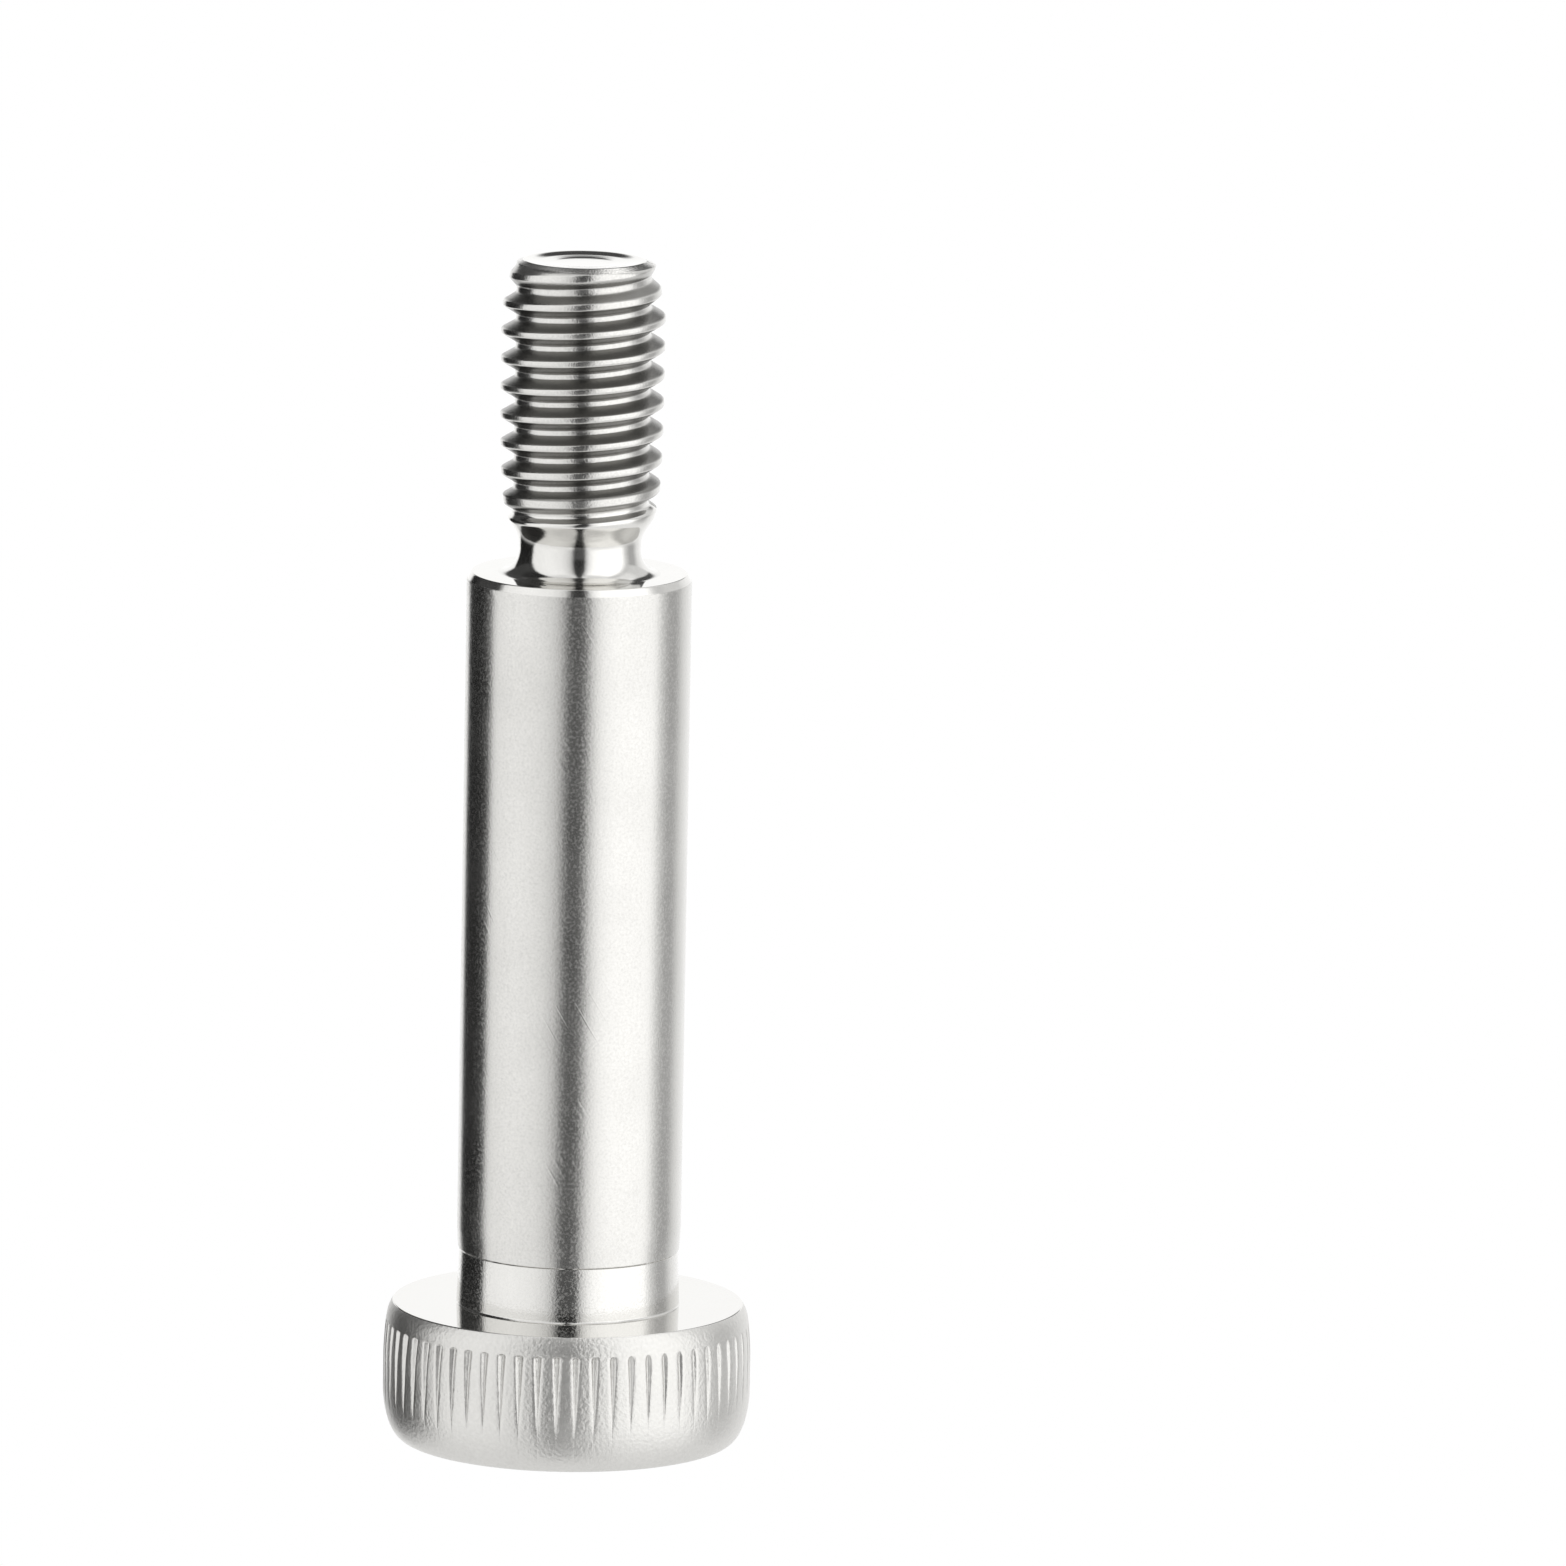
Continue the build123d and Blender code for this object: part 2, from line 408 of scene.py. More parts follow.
class Skin:
    """One closed skin, gathered from the middle of the socket's floor to the middle of the tip.

    Loops run anticlockwise seen from the tip, so that the faces between them point outwards.
    """

    def __init__(self) -> None:
        """Start with no points and no faces."""
        self.points: list[Array] = []
        self.unshaded: list[Array] = []
        self.faces: list[Array] = []
        self.finishes: list[Array] = []
        self.count = 0

    def add_points(self, radius: Numbers, angle: Numbers, height: Numbers,
                   unshaded: Numbers = 1.0) -> Array:
        """Add points given as radius, angle and height in millimetres.

        A point is (radius cos angle, radius sin angle, height).

        Args:
            radius: distances from the axis.
            angle: angles round the axis.
            height: heights.
            unshaded: how far each point is free of the painted shade on the thread's flanks, from 0
                to 1.

        Returns:
            The points' numbers, in the four's broadcast shape.
        """
        radius, angle, height, unshaded = np.broadcast_arrays(radius, angle, height, unshaded)
        spots = np.stack([radius * np.cos(angle), radius * np.sin(angle), height], axis=-1)
        ids = self.count + np.arange(radius.size).reshape(radius.shape)
        self.points.append(spots.reshape(-1, 3))
        self.unshaded.append(unshaded.reshape(-1))
        self.count += radius.size
        return ids

    def revolve(self, profile: Array, angle: Array) -> Array:
        """Add a ring of points for each radius and height of a profile; return their numbers."""
        return self.add_points(profile[:, :1], angle, profile[:, 1:])

    def add_faces(self, faces: Array, finish: Finish) -> None:
        """Add faces of three or four points with one finish."""
        self.faces.append(faces)
        self.finishes.append(np.full(len(faces), finish.value))

    def sheet(self, ids: Array, finish: Finish, closed: bool = True) -> None:
        """Fill a grid of points with quads.

        Args:
            ids: point numbers, one row for each loop.
            finish: the finish of the quads.
            closed: whether the last column is joined to the first.
        """
        if closed:
            ids = np.concatenate([ids, ids[:, :1]], axis=1)
        quads = np.stack([ids[:-1, :-1], ids[:-1, 1:], ids[1:, 1:], ids[1:, :-1]], axis=-1)
        self.add_faces(quads.reshape(-1, 4), finish)

    def zip_loops(self, lower: Loop, upper: Loop, finish: Finish) -> None:
        """Join two loops with different counts of points by triangles.

        Both loops are walked at once, step by step in the order of the steps' middle angles. Each
        step makes a triangle with the point where the walk stands on the other loop.

        Args:
            lower: the loop nearer the start of the skin.
            upper: the next loop.
            finish: the finish of the triangles.
        """
        middles = []
        for loop in (lower, upper):
            ends = np.append(loop.angles[1:], loop.angles[0] + FULL_TURN)
            middles.append((loop.angles + ends) / 2)
        kind = np.repeat([0, 1], [len(lower.ids), len(upper.ids)])
        kind = kind[np.argsort(np.concatenate(middles), kind="stable")]
        on_lower = np.cumsum(kind == 0) - (kind == 0)
        on_upper = np.cumsum(kind == 1) - (kind == 1)
        a, b = lower.ids, upper.ids
        here_a, here_b = a[on_lower % len(a)], b[on_upper % len(b)]
        third = np.where(kind == 0, a[(on_lower + 1) % len(a)], b[(on_upper + 1) % len(b)])
        self.add_faces(np.stack([here_a, third, here_b], axis=-1), finish)

    def cap(self, pole: Array, ring: Array, finish: Finish, at_start: bool) -> None:
        """Close a loop with a fan of triangles.

        Args:
            pole: number of the point in the middle.
            ring: the loop's point numbers.
            finish: the finish of the triangles.
            at_start: whether the pole is the start of the skin and not its end.
        """
        after = np.roll(ring, -1)
        middle = np.full_like(ring, pole)
        fan = (middle, after, ring) if at_start else (ring, after, middle)
        self.add_faces(np.stack(fan, axis=-1), finish)

    def build(self, name: str) -> bpy.types.Object:
        """Make the mesh object, in metres.

        Args:
            name: the object's name.

        Returns:
            The object, linked to the scene.
        """
        sizes = np.concatenate([np.full(len(faces), faces.shape[1]) for faces in self.faces])
        corners = np.concatenate([faces.reshape(-1) for faces in self.faces])
        spots = (np.concatenate(self.points) * MM).astype(np.float32)
        mesh = bpy.data.meshes.new(name)
        mesh.vertices.add(self.count)
        mesh.vertices.foreach_set("co", spots.ravel())
        mesh.loops.add(len(corners))
        mesh.loops.foreach_set("vertex_index", corners.astype(np.int32))
        mesh.polygons.add(len(sizes))
        mesh.polygons.foreach_set("loop_start", (np.cumsum(sizes) - sizes).astype(np.int32))
        mesh.polygons.foreach_set("material_index", np.concatenate(self.finishes).astype(np.int32))
        mesh.polygons.foreach_set("use_smooth", np.ones(len(sizes), dtype=bool))
        mesh.update(calc_edges=True)
        mesh.validate()
        layer = mesh.attributes.new(UNSHADED, "FLOAT", "POINT")
        layer.data.foreach_set("value", np.concatenate(self.unshaded).astype(np.float32))
        for finish in Finish:
            mesh.materials.append(FINISHES[finish].material())
        return add_object(name, mesh)


# ---- Sub-assemblies of the bolt ----

@dataclass
class Socket:
    """Hexagon socket in the end face of the head, with a conical floor and a conical lead-in."""

    across_flats: float = 6.0
    floor_tip: float = 5.65
    floor_slope: float = math.tan(math.radians(30.0))
    lead_radius: float = 3.754
    lead_depth: float = 0.62
    columns: int = 192

    def build(self, skin: Skin) -> Loop:
        """Add the floor, the walls and the lead-in.

        The hexagon's radius is half the flats over the cosine of the angle from the middle of the
        nearest flat. The floor is height = tip - slope x radius. The lead-in is a cone from the
        rim to the flats, and the walls run between the two.

        Args:
            skin: where the surfaces go.

        Returns:
            The loop round the mouth, in the plane of the end face.
        """
        angle = even_angles(self.columns)
        flat = self.across_flats / 2
        hexagon = flat / np.cos(np.mod(angle, FULL_TURN / 6) - FULL_TURN / 12)
        pole = skin.add_points(0.0, 0.0, self.floor_tip)
        share = np.array([0.02, 0.1, 0.25, 0.45, 0.65, 0.85, 0.96, 0.99, 1.0])[:, None]
        radius = share * hexagon
        floor = skin.add_points(radius, angle, self.floor_tip - self.floor_slope * radius)
        skin.cap(pole, floor[0], Finish.SOCKET, at_start=True)
        top = self.floor_tip - self.floor_slope * hexagon
        lead_slope = self.lead_depth / (self.lead_radius - flat)
        foot = (self.lead_radius - hexagon) * lead_slope
        share = np.array([0.01, 0.03, 0.25, 0.5, 0.75, 0.97, 0.99])[:, None]
        wall = skin.add_points(hexagon, angle, top + (foot - top) * share)
        share = np.array([0.0, 0.04, 0.1, 0.35, 0.65, 0.92, 0.97, 1.0])[:, None]
        radius = hexagon + (self.lead_radius - hexagon) * share
        lead = skin.add_points(radius, angle, (self.lead_radius - radius) * lead_slope)
        skin.sheet(np.vstack([floor, wall, lead]), Finish.SOCKET)
        mouth = skin.add_points(self.lead_radius + np.array([0.02, 0.05])[:, None], angle, 0.0)
        skin.sheet(np.vstack([lead[-1:], mouth]), Finish.FACED)
        return Loop(mouth[-1], angle)


@dataclass
class Head:
    """Round head with a rolled lower edge, a straight knurl and a plain band above it.

    The knurl sits a little off centre. The grooves' depth, length and end length are given at the
    -X side, in the middle and at the +X side.
    """

    height: float = 4.95
    radius: float = 6.54
    round_width: float = 0.75
    round_height: float = 1.9
    taper_bottom: float = 3.16
    crown_bottom: float = 4.02
    land_end_radius: float = 6.46
    band_bottom: float = 4.31
    band_radius: float = 6.45
    band_bulge: float = 0.045
    bearing_radius: float = 6.235
    rim_rounding: float = 0.035
    groove_count: int = 61
    groove_start: float = math.radians(2.0)
    groove_top: float = 4.27
    groove_depth: Triple = (0.17, 0.15, 0.115)
    groove_length: Triple = (3.05, 2.9, 2.6)
    groove_end_length: Triple = (0.06, 0.08, 0.6)
    depth_spread: float = 0.005
    root_rounding: float = 0.015
    edge_rounding: float = 0.03
    edge_columns: float = 0.016
    least_width: float = 0.024

    def build(self, skin: Skin, mouth: Loop) -> Loop:
        """Add the end face, the knurled side, the band and the rim of the bearing face.

        The band bows outwards by 4 x bulge x share x (1 - share) of its height.

        Args:
            skin: where the surfaces go.
            mouth: the loop round the socket's mouth.

        Returns:
            The loop round the rim of the bearing face, in its plane.
        """
        profile = self._side_profile()
        angle, radius = self._grooved(profile)
        side = skin.add_points(radius, angle, profile[:, 1:])
        skin.zip_loops(mouth, Loop(side[0], angle[0]), Finish.FACED)
        skin.sheet(side, Finish.KNURLED)
        rim = rounded_profile([(self.band_radius, self.band_bottom, 0.0),
                               (self.bearing_radius, self.height, self.rim_rounding),
                               (self.bearing_radius - 0.15, self.height, 0.0)])
        band = np.concatenate([np.linspace(rim[0], rim[1], 7)[:-1], rim[1:]])
        share = (band[:, 1] - self.band_bottom) / (self.height - self.band_bottom)
        share = np.clip(share, 0.0, 1.0)
        band[:, 0] += self.band_bulge * 4.0 * share * (1.0 - share)
        plain = angle[-1]
        ring = skin.revolve(band, plain)
        edge = len(band) - 5    # the band's finish ends on the rounding of the rim
        skin.sheet(np.vstack([side[-1:], ring[:edge]]), Finish.KNURLED)
        skin.sheet(ring[edge - 1:], Finish.FACED)
        return Loop(ring[-1], plain)

    def _side_profile(self) -> Array:
        """Radius and height up the side of the head, without grooves.

        A quarter of an ellipse, radius = rim + width sin t and height = up (1 - cos t), then the
        straight land, then a shallow crown that draws in to the end of the land as share ^ 1.5.
        The points lie closer where the grooves end: at the foot, and towards the band.

        Returns:
            Points, radius and height, from the end face to the foot of the band.
        """
        rim = self.radius - self.round_width
        t = np.concatenate([np.linspace(0.0, 0.5, 6), np.linspace(0.62, math.pi / 2, 9)])
        ellipse = np.stack([rim + self.round_width * np.sin(t),
                            self.round_height * (1.0 - np.cos(t))], axis=-1)
        land_height = np.linspace(self.round_height, self.taper_bottom, 6)[1:]
        land = np.stack([np.full_like(land_height, self.radius), land_height], axis=-1)
        top = self.band_bottom - 0.02
        closer = 1 - np.linspace(1, 0, 10)[1:] ** 1.6
        crown_height = np.concatenate([
            np.linspace(self.taper_bottom, self.crown_bottom, 6)[1:],
            self.crown_bottom + (top - self.crown_bottom) * closer])
        share = (crown_height - self.taper_bottom) / (self.band_bottom - self.taper_bottom)
        crown = np.stack([self.radius - (self.radius - self.land_end_radius) * share ** 1.5,
                          crown_height], axis=-1)
        flat = np.array([[rim - 0.12, 0.0], [rim - 0.03, 0.0]])
        return np.vstack([flat, ellipse, land, crown])

    def _grooved(self, profile: Array) -> tuple[Array, Array]:
        """Cut the V grooves of the knurl into the side.

        Across a groove the surface is the rounded lower of the side and a right-angled V, so that a
        groove is half as wide as its depth to either side. The depth rises with the height below
        the top as (1 - below / length) ^ 0.85, times a quarter of an ellipse at the V's upper end.
        The columns follow the grooves' edges, where V and side meet.

        Args:
            profile: radius and height of the ungrooved side.

        Returns:
            Angles and radii, one row for each point of the profile.
        """
        pitch = FULL_TURN / self.groove_count
        side, height = profile[:, :1], profile[:, 1:]
        centre = self.groove_start + np.arange(self.groove_count)[None, :] * pitch
        rng = np.random.default_rng(61)
        uneven = rng.normal(0.0, self.depth_spread, self.groove_count)[None, :]
        depth, length, end_length = (
            np.interp(np.cos(centre), (-1.0, 0.0, 1.0), values)
            for values in (self.groove_depth, self.groove_length, self.groove_end_length))
        below = self.groove_top - height
        width = (depth + uneven) * np.clip(1.0 - below / length, 0.0, 1.0) ** 0.85
        into_end = np.clip(1.0 - below / end_length, 0.0, 1.0)
        width = width * np.sqrt(np.clip(1.0 - into_end ** 2, 0.0, 1.0))
        width = np.where(below > 0.0, width, 0.0)
        spread = np.maximum(width, self.least_width)[..., None]
        half = (side * pitch / 2)[..., None]
        edge = self.edge_columns
        free = half - spread - edge
        right = np.concatenate([
            0.3 * spread, 0.72 * spread, np.maximum(spread - edge, 0.8 * spread),
            spread + edge, spread + edge + 0.45 * free], axis=-1)
        across = np.concatenate([-right[..., ::-1], np.zeros_like(spread), right,
                                 np.broadcast_to(half, spread.shape)], axis=-1)
        sunk = width[..., None] - np.hypot(across, self.root_rounding)
        radius = side[..., None] + soft_min(np.zeros_like(sunk), -sunk, self.edge_rounding)
        angle = centre[..., None] + across / side[..., None]
        rows = len(profile)
        return angle.reshape(rows, -1), radius.reshape(rows, -1)


@dataclass
class Shoulder:
    """Bearing face, relief and ground shoulder, up to the shoulder's end face."""

    bottom: float = 4.95
    radius: float = 3.985
    length: float = 26.35
    relief_length: float = 2.0
    relief_depth: float = 0.085
    root_depth: float = 0.02
    root_flare: float = 0.05
    relief_step: float = 0.06
    end_taper: float = 0.045
    end_taper_height: float = 0.75
    chamfer_width: float = 0.165
    chamfer_height: float = 0.28
    columns: int = 192

    def build(self, skin: Skin, rim: Loop) -> Loop:
        """Add the bearing face inside its rim, the relief, the shoulder and its chamfer.

        Args:
            skin: where the surfaces go.
            rim: the loop round the rim of the bearing face.

        Returns:
            The loop on the shoulder's end face, near its outer edge.
        """
        angle = even_angles(self.columns)
        end = self.bottom + self.length
        relief_top = self.bottom + self.relief_length
        foot = self.radius - self.root_depth
        profile = rounded_profile([
            (foot + 0.6, self.bottom, 0.0),
            (foot + self.root_flare, self.bottom, 0.006),
            (foot, self.bottom + self.root_flare, 0.01),
            (self.radius - self.relief_depth, relief_top - self.relief_step, 0.015),
            (self.radius - self.end_taper, relief_top, 0.015),
            (self.radius, relief_top + self.end_taper_height, 0.2),
            (self.radius, end - self.chamfer_height, 0.04),
            (self.radius - self.chamfer_width, end, 0.03),
            (self.radius - self.chamfer_width - 0.12, end, 0.0)])
        rows = skin.revolve(profile, angle)
        skin.zip_loops(rim, Loop(rows[0], angle), Finish.FACED)
        starts = (self.bottom + 0.02, relief_top - 0.01, end - self.chamfer_height + 0.03,
                  end - 0.012)
        edges = [0, *np.searchsorted(profile[:, 1], starts), len(rows) - 1]
        finishes = (Finish.FACED, Finish.RELIEF, Finish.GROUND, Finish.POLISHED, Finish.FACED)
        for low, high, finish in zip(edges, edges[1:], finishes):
            skin.sheet(rows[low:high + 1], finish)
        return Loop(rows[-1], angle)


@dataclass
class ThreadedEnd:
    """Neck with its fillet, rolled right-hand thread, chamfered and dished tip."""

    bottom: float = 31.3
    neck_radius: float = 2.165
    fillet_width: float = 0.7144
    fillet_height: float = 0.85
    neck_length: float = 0.45
    neck_flare: float = 0.12
    runout_slope: float = math.tan(math.radians(34.0))
    radius: float = 2.9
    pitch: float = 1.0
    length: float = 11.17
    depth: float = 0.515
    root_width: float = 0.21
    flank_angle: float = math.radians(30.0)
    start_angle: float = math.radians(83.0)
    cut_until: Pair = (2.4, 4.4)
    lip_height: float = 0.75
    lip_tilt: float = 0.15
    lip_radius: float = 2.63
    lip_slope: float = 0.9
    thin_start: Triple = (0.6, 0.3, 1.1)
    tip_radius: float = 2.14
    edge_radius: float = 2.54
    edge_height: float = 0.16
    taper_height: float = 1.75
    dish: Triple = (0.055, 0.06, 0.005)
    columns: int = 128
    turns: int = 12
    # Places of the strip's rows from the crest's middle, in parts of the pitch, close at creases.
    half_levels: tuple[float, ...] = (
        0.0, 0.078, 0.098, 0.118, 0.15, 0.21, 0.28, 0.33, 0.365, 0.405, 0.45)

    def build(self, skin: Skin, edge: Loop) -> None:
        """Add the inner part of the shoulder's end face, the neck, the thread and the tip.

        The fillet is a quarter of an ellipse, radius = neck + width (1 - sin t) and height =
        up (1 - cos t).

        Args:
            skin: where the surfaces go.
            edge: the loop on the shoulder's end face.
        """
        angle = even_angles(self.columns, 0.5)
        t = np.linspace(0.0, math.pi / 2, 12)
        fillet = np.stack([self.neck_radius + self.fillet_width * (1 - np.sin(t)),
                           self.bottom + self.fillet_height * (1 - np.cos(t))], axis=-1)
        foot = self.neck_radius + self.fillet_width
        face = np.array([[foot + 0.15, self.bottom], [foot + 0.03, self.bottom]])
        top = np.array([[self.neck_radius, self.bottom + self.fillet_height + 0.03]])
        rows = skin.revolve(np.vstack([face, fillet, top]), angle)
        skin.zip_loops(edge, Loop(rows[0], angle), Finish.FACED)
        skin.sheet(rows[:3], Finish.FACED)
        skin.sheet(rows[2:], Finish.POLISHED)
        start, finish = self._add_thread(skin)
        skin.zip_loops(Loop(rows[-1], angle), start, Finish.POLISHED)
        self._add_tip(skin, finish, angle)

    def _ridge(self, place: Array) -> Array:
        """Depth below the crest across one pitch.

        Flat for the crest's width, then two straight flanks, then the flat root. The creases are
        rounded by averaging the same shape moved to either side: a little at the crest's upper
        edge, which stays crisp, and further at its lower edge and in the root.

        Args:
            place: distance from the middle of the crest in parts of the pitch, from -0.5 to 0.5.

        Returns:
            The depth in millimetres.
        """
        slope = 1.0 / math.tan(self.flank_angle)
        crest = 1.0 - self.root_width - 2.0 * self.depth / slope
        grid = np.linspace(-1.0, 1.0, 4001)
        away = np.abs(np.mod(grid + 0.5, 1.0) - 0.5)
        sharp = np.clip((away - crest / 2) * slope, 0.0, self.depth)
        fine, wide = (np.convolve(sharp, window / window.sum(), mode="same")
                      for window in (np.hanning(101)[1:-1], np.hanning(301)[1:-1]))
        crest_side = np.where(np.mod(grid, 1.0) < 0.5, fine, wide)
        share = np.clip((away - 0.22) / 0.08, 0.0, 1.0)
        return np.interp(place, grid, crest_side + (wide - crest_side) * share)

    def _envelope(self, height: Array) -> Array:
        """Radius of the blank that the thread is rolled on.

        The neck flares into the run-out cone as slope x flare x log(1 + exp(rise / flare)). Above
        the neck the blank is still thin and nears its full radius as 1 - loss exp(-rise / reach).
        The rounded minimum joins the cone, the cylinder, the tip's taper and its bevel.

        Args:
            height: heights in millimetres.

        Returns:
            The radii.
        """
        rise = height - (self.bottom + self.fillet_height + self.neck_length)
        cone = self.neck_radius + self.neck_flare * self.runout_slope * np.logaddexp(
            0.0, rise / self.neck_flare)
        start, loss, reach = self.thin_start
        full = self.radius - loss * np.exp(-np.maximum(rise - start, -0.5) / reach)
        below_tip = self.bottom + self.length - height
        taper = self.edge_radius + (self.radius - self.edge_radius) * (
            (below_tip - self.edge_height) / (self.taper_height - self.edge_height))
        bevel = self.tip_radius + (
            self.edge_radius - self.tip_radius) * below_tip / self.edge_height
        return soft_min(soft_min(soft_min(cone, full, 0.05), taper, 0.06), bevel, 0.06)

    def _unshaded(self, place: Array, formed: Array) -> Array:
        """How far the thread is free of painted shade: crest and root bright, flanks given painted
        shade.

        It is 1 on the crest and in the root and falls to 0 along straight ramps onto the flanks.
        Where the thread isn't formed, on the neck and the tip, it stays 1.

        Args:
            place: distance from the middle of the crest in parts of the pitch.
            formed: height of the ridge as a share of the full one.

        Returns:
            Values from 0 to 1.
        """
        lower_crest, upper_crest, root = 0.125, 0.105, 0.355
        crest_ramp, root_ramp = 0.03, 0.06
        crest_edge = np.where(place < 0.0, lower_crest, upper_crest)
        away = np.abs(place)
        bright = np.maximum(1.0 - (away - crest_edge) / crest_ramp, (away - root) / root_ramp)
        dull = np.clip((formed - 0.25) / 0.35, 0.0, 1.0)
        return 1.0 - (1.0 - np.clip(bright, 0.0, 1.0)) * dull

    def _add_thread(self, skin: Skin) -> tuple[Loop, Loop]:
        """Add the thread as one long strip wound round the axis.

        The strip's height is a rising function of turns + part of the pitch, so that the far end of
        each row is the start of the row one pitch up. In the neck and on the tip it rises slowly,
        which draws the strip's ends together. The radius is the blank's less the ridge's depth,
        and where the blank is thinner the ridge is shallower in proportion, down to nothing where
        the blank is as thin as the root. Next to the neck the thread is full and the blank cuts
        its crests off instead, and the last groove rises to a lip, whose height varies as the
        cosine of the angle.

        Args:
            skin: where the strip goes.

        Returns:
            The strip's lower and upper edges.
        """
        half = np.array(self.half_levels)
        level = np.concatenate([[-0.5], -half[:0:-1], half])
        per_turn = len(level)
        rows = np.arange(self.turns * per_turn + 1)
        part = rows // per_turn + level[rows % per_turn]
        count = self.columns
        angle = np.arange(count + 1) * FULL_TURN / count
        wound = part[:, None] + angle[None, :] / FULL_TURN
        neck = self.bottom + self.fillet_height
        reference = neck - self.pitch * (0.5 + self.start_angle / FULL_TURN)
        low, high = neck + 0.7, self.bottom + self.length - 0.14
        knots = np.array([[-0.5, neck + 0.05], [0.5, neck + 0.32],
                          [(low - reference) / self.pitch, low],
                          [(high - reference) / self.pitch, high],
                          [self.turns - 0.5, high + 0.03], [self.turns + 0.5, high + 0.11]])
        height = np.interp(wound, knots[:, 0], knots[:, 1])
        place = (height - neck) / self.pitch - (angle - self.start_angle) / FULL_TURN - 0.5
        place = np.mod(place + 0.5, 1.0) - 0.5
        blank = self._envelope(height)
        share = np.clip((blank - self.radius) / self.depth + 1.0, 0.0, 1.0)
        ridge = self._ridge(place)
        lip = neck + self.neck_length + self.lip_height + self.lip_tilt * np.cos(angle)
        ramp = self.lip_radius - self.lip_slope * (height - lip)
        groove = -soft_min(ridge - self.radius, -ramp, 0.06)
        cut = soft_min(blank, groove, 0.08)
        start, end = self.cut_until
        turned = np.clip((height - neck - start) / (end - start), 0.0, 1.0)
        radius = cut + (blank - share * ridge - cut) * turned
        # Painted shade on the flanks of the thread, carried by the point attribute.
        unshaded = self._unshaded(place, share)
        first = skin.add_points(radius[:, :-1], angle[:-1], height[:, :-1], unshaded[:, :-1])
        extra = skin.add_points(radius[-per_turn:, -1], angle[-1], height[-per_turn:, -1],
                                unshaded[-per_turn:, -1])
        seam = np.concatenate([first[per_turn:, 0], extra])
        ids = np.concatenate([first, seam[:, None]], axis=1)
        smooth_rows = 2 * per_turn
        skin.sheet(ids[:smooth_rows + 1], Finish.POLISHED, closed=False)
        skin.sheet(ids[smooth_rows:], Finish.ROLLED, closed=False)
        nudge = FULL_TURN / count / 4
        down = np.full(per_turn, FULL_TURN - nudge)
        lower = Loop(np.concatenate([first[0], first[per_turn:0:-1, 0]]),
                     np.concatenate([angle[:-1], down]))
        upper = Loop(np.concatenate([ids[-1], ids[-2:-per_turn - 1:-1, -1]]),
                     np.concatenate([np.minimum(angle, FULL_TURN - 2 * nudge), down[1:]]))
        return lower, upper

    def _add_tip(self, skin: Skin, edge: Loop, angle: Array) -> None:
        """Add the rim of the chamfer and the dished end face.

        Inside a rounded rim the end face sinks in three steps, each of the form 3 s^2 - 2 s^3: a
        steep one at the rim, a long shallow one, and a small ring half way in.

        Args:
            skin: where the surfaces go.
            edge: the strip's upper edge.
            angle: the angles of the rings.
        """
        tip, rim = self.bottom + self.length, self.tip_radius
        corner = rounded_profile([(rim + 0.055, tip - 0.022, 0.0), (rim, tip, 0.042),
                                  (rim - 0.06, tip, 0.0)], support=0.006)
        inner = np.concatenate([np.linspace(rim - 0.075, 0.85, 30), [0.65, 0.35, 0.12]])
        starts, spans = np.array([rim - 0.05, rim - 0.35, 1.16]), np.array([0.6, 1.2, 0.2])
        steps = np.clip((starts - inner[:, None]) / spans, 0.0, 1.0)
        height = tip - (3 * steps ** 2 - 2 * steps ** 3) @ np.array(self.dish)
        profile = np.concatenate([corner, np.stack([inner, height], axis=-1)])
        rows = skin.revolve(profile, angle)
        skin.zip_loops(edge, Loop(rows[0], angle), Finish.ROLLED)
        skin.sheet(rows[:3], Finish.ROLLED)
        skin.sheet(rows[2:], Finish.FACED)
        pole = skin.add_points(0.0, 0.0, height[-1])
        skin.cap(pole, rows[-1], Finish.FACED, at_start=False)


@dataclass
class ShoulderBolt:
    """The whole bolt as one piece of steel."""

    socket: Socket
    head: Head
    shoulder: Shoulder
    thread: ThreadedEnd
    name: str = "shoulder_bolt_skin"

    def build(self) -> bpy.types.Object:
        """Build the skin from the socket's floor to the tip, and report each part.

        Returns:
            The bolt.
        """
        skin = Skin()
        edge = self.socket.build(skin)
        for part in (self.head, self.shoulder, self.thread):
            edge = part.build(skin, edge)
            log.info("%s: %d points so far", type(part).__name__, skin.count)
        bolt = skin.build(self.name)
        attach(bolt, "root")
        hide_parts("shoulder_bolt")
        return bolt


# ---- Studio ----

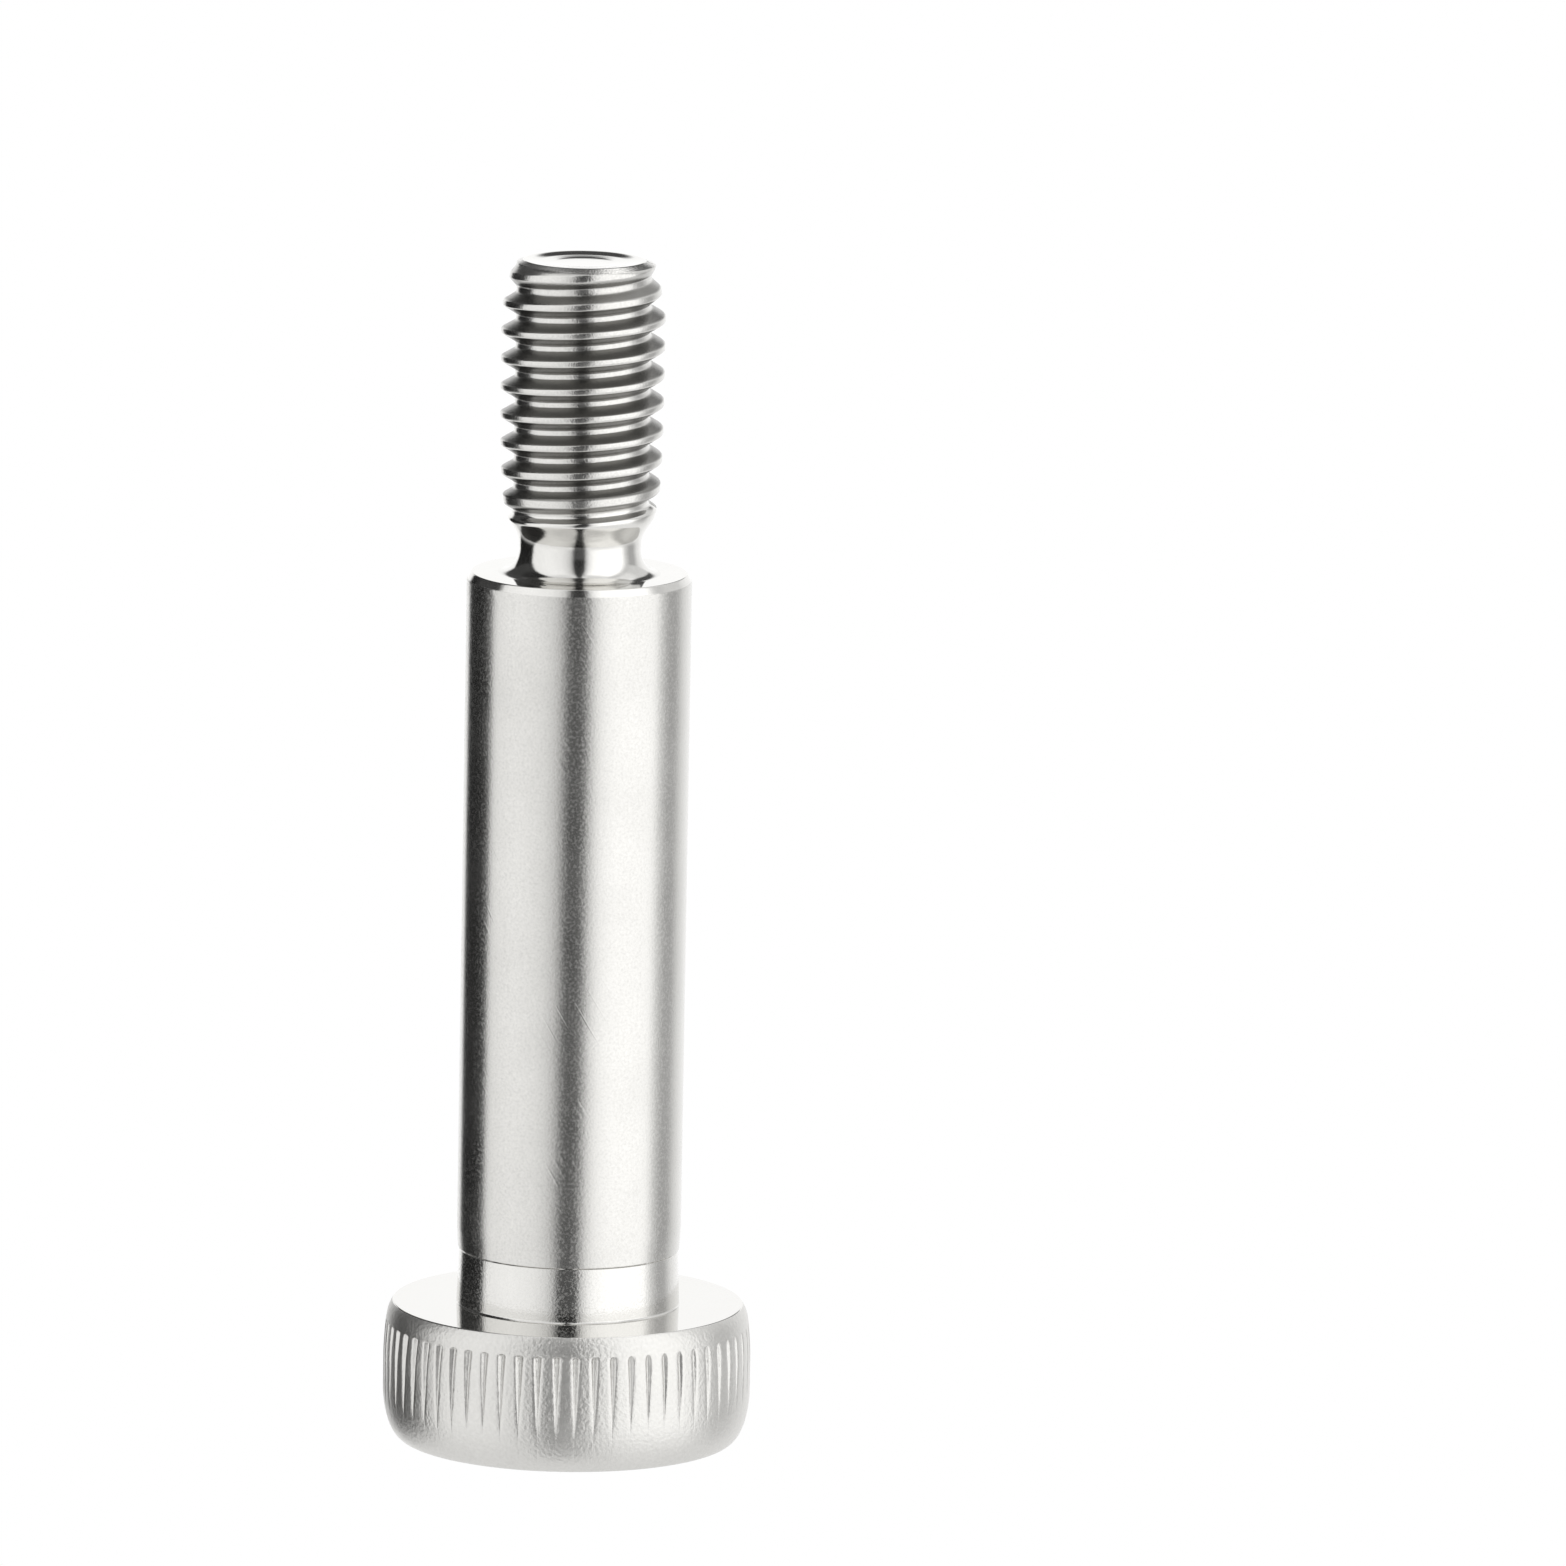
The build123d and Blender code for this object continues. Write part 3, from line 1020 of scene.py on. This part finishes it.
@dataclass
class Studio:
    """Lit white floor, soft surroundings with dark gaps between the panels, and the camera."""

    floor_size: float = 4.0
    floor_colour: str = "#FFFFFF"
    lamp_size: float = 1.6
    lamp_height: float = 1.2
    lamp_power: float = 12.0
    camera_distance: float = 0.64
    camera_elevation: float = math.radians(10.4)
    camera_roll: float = math.radians(1.05)
    focal_length: float = 415.2
    sensor_width: float = 36.0
    aim: Triple = (0.00733, 0.0, 0.02384)
    # Brightness of the upright panels by azimuth: 0 and 1 behind the bolt, 0.5 in front of it.
    panels: Stops = (
        (0.0, 1.15), (0.075, 1.15), (0.088, 0.015), (0.219, 0.015), (0.234, 1.1), (0.33, 1.2),
        (0.4, 1.1), (0.43, 0.95), (0.452, 0.75), (0.466, 0.6), (0.54, 0.95), (0.575, 1.38),
        (0.62, 1.52), (0.74, 1.5), (0.768, 0.85), (0.8, 0.5), (0.835, 0.52), (0.875, 0.95),
        (0.92, 1.1), (1.0, 1.15))
    # Share of it that the dark gap at the camera lets through.
    gap: Stops = ((0.45, 1.0), (0.462, 0.75), (0.476, 0.03), (0.524, 0.03), (0.537, 0.75),
                  (0.55, 1.0))
    # Brightness overhead, behind the bolt, by the sideways part of the direction from -0.4 to 0.4:
    # high up, and lower down where the white backdrop ends.
    overhead: Stops = (
        (0.0, 0.02), (0.12, 0.05), (0.26, 0.42), (0.42, 0.12), (0.56, 0.12), (0.66, 1.3),
        (0.79, 2.1), (0.88, 1.2), (1.0, 1.0))
    above_backdrop: Stops = ((0.0, 0.05), (0.84, 0.08), (0.93, 0.75), (1.0, 0.8))
    sideways: float = 0.4
    # Parts of the direction, back or up, between which one area fades into the next.
    behind: Pair = (0.0, 0.35)
    backdrop_top: Pair = (0.22, 0.32)
    overhead_from: Pair = (0.56, 0.7)
    ceiling_from: Pair = (0.84, 0.95)
    floor_from: Pair = (-0.3, -0.62)
    gap_from: Pair = (-0.86, -0.66)
    gap_full: Pair = (-0.12, 0.08)
    gap_low_share: float = 0.9
    ceiling: float = 0.9
    floor_glow: float = 1.0
    fill: float = 2.5

    def build(self) -> None:
        """Build the floor, the surroundings, the lamp and the camera."""
        self._floor()
        self._surroundings()
        self._lamp()
        self._camera()
        log.info("studio: floor, surroundings, lamp and camera")

    def _floor(self) -> None:
        """Add a plain floor of evenly lit white acrylic, clear from below, under the end face."""
        half = self.floor_size / 2
        mesh = bpy.data.meshes.new("floor")
        mesh.from_pydata([(-half, -half, 0.0), (half, -half, 0.0), (half, half, 0.0),
                          (-half, half, 0.0)], [], [(0, 1, 2, 3)])
        floor = add_object("floor", mesh)
        material = bpy.data.materials.new("lit_white_acrylic")
        node = partial(add_node, empty_tree(material))
        glow = node("Emission", {"Color": linear(self.floor_colour)})
        side = node("NewGeometry").outputs["Backfacing"]
        mixed = node("MixShader", {0: side, 1: glow, 2: node("BsdfTransparent")})
        node("OutputMaterial", {"Surface": mixed})
        mesh.materials.append(material)
        floor.visible_glossy = False

    def _surroundings(self) -> None:
        """Add what the steel reflects: upright panels, a softbox overhead, a light floor below.

        The azimuth is atan2(right, forward). Behind the bolt, above the backdrop, the overhead
        brightness shows, elsewhere the panels, which turn into the ceiling high up and the floor
        low down. The dark gap multiplies them. Only reflections see this: other rays get a fill.
        """
        world = bpy.data.worlds.new("soft_studio")
        bpy.context.scene.world = world
        node = partial(add_node, empty_tree(world))
        right, back, up = node("SeparateXYZ", {"Vector": node("TexCoord")}).outputs
        forward = node("Math", {0: back, 1: -1.0}, operation="MULTIPLY")
        azimuth = node("Math", {0: right, 1: forward}, operation="ARCTAN2")
        around, across = (
            node("MapRange", {"Value": value, "From Min": -reach, "From Max": reach})
            for value, reach in ((azimuth, math.pi), (right, self.sideways)))
        ramps = []
        for place, stops in ((around, self.panels), (around, self.gap), (across, self.overhead),
                             (across, self.above_backdrop)):
            ramps.append(node("ValToRGB", {"Fac": place}))
            fill_ramp(ramps[-1].color_ramp, stops)
        panels, gap, overhead, above_backdrop = ramps
        behind, over_backdrop, high, at_ceiling, at_floor, at_gap = (
            node("MapRange", {"Value": part, "From Min": start, "From Max": end},
                 **SMOOTH)
            for part, (start, end) in (
                (back, self.behind), (up, self.backdrop_top), (up, self.overhead_from),
                (up, self.ceiling_from), (up, self.floor_from), (up, self.gap_from)))
        above = node("Math", {0: over_backdrop, 1: behind}, operation="MULTIPLY")
        start, end = self.gap_full
        gap_share = node("MapRange", {"Value": up, "From Min": start, "From Max": end,
                                      "To Min": self.gap_low_share})
        dark = node("Math", {0: at_gap, 1: gap_share}, operation="MULTIPLY")
        ceiling, floor, fill = ((grey, grey, grey, 1.0)
                                for grey in (self.ceiling, self.floor_glow, self.fill))
        upper = node("Mix", {"Factor": high, MIX_A: above_backdrop, MIX_B: overhead},
                     data_type="RGBA")
        mirrored = panels
        for factor, other, blend in ((at_ceiling, ceiling, "MIX"), (at_floor, floor, "MIX"),
                                     (dark, gap, "MULTIPLY"), (above, upper, "MIX")):
            mirrored = node("Mix", {"Factor": factor, MIX_A: mirrored, MIX_B: other},
                            data_type="RGBA", blend_type=blend)
        reflected = node("LightPath").outputs["Is Glossy Ray"]
        seen = node("Mix", {"Factor": reflected, MIX_A: fill, MIX_B: mirrored}, data_type="RGBA")
        node("OutputWorld", {"Surface": node("Background", {"Color": seen})})

    def _lamp(self) -> None:
        """Add one large soft lamp overhead, for the upper edges."""
        lamp = bpy.data.lights.new("overhead_softbox", "AREA")
        lamp.shape = "SQUARE"
        lamp.size = self.lamp_size
        lamp.energy = self.lamp_power
        holder = add_object("overhead_softbox", lamp)
        holder.location = (0.0, 0.0, self.lamp_height)
        holder.visible_glossy = False

    def _camera(self) -> None:
        """Add the camera: straight in front, looking slightly down, rolled by a degree."""
        camera = bpy.data.cameras.new("camera")
        camera.sensor_width = self.sensor_width
        camera.lens = self.focal_length
        camera.clip_start = 0.01
        holder = add_object("camera", camera)
        ahead = Vector((0.0, math.cos(self.camera_elevation), -math.sin(self.camera_elevation)))
        right = Vector((1.0, 0.0, 0.0))
        up = right.cross(ahead)
        c, s = math.cos(self.camera_roll), math.sin(self.camera_roll)
        right, up = right * c + up * s, up * c - right * s
        turn = Matrix((right, up, -ahead)).transposed().to_4x4()
        turn.translation = Vector(self.aim) - ahead * self.camera_distance
        holder.matrix_world = turn
        bpy.context.scene.camera = holder


def main() -> None:
    """Load the frame, and build the bolt and the studio."""
    logging.basicConfig(level=logging.INFO, format="%(name)s: %(message)s")
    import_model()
    bpy.context.scene.view_settings.view_transform = "Standard"
    bolt = ShoulderBolt(Socket(), Head(), Shoulder(), ThreadedEnd()).build()
    log.info("%s: %d faces", bolt.name, len(bolt.data.polygons))
    Studio().build()


if __name__ == "__main__":
    main()
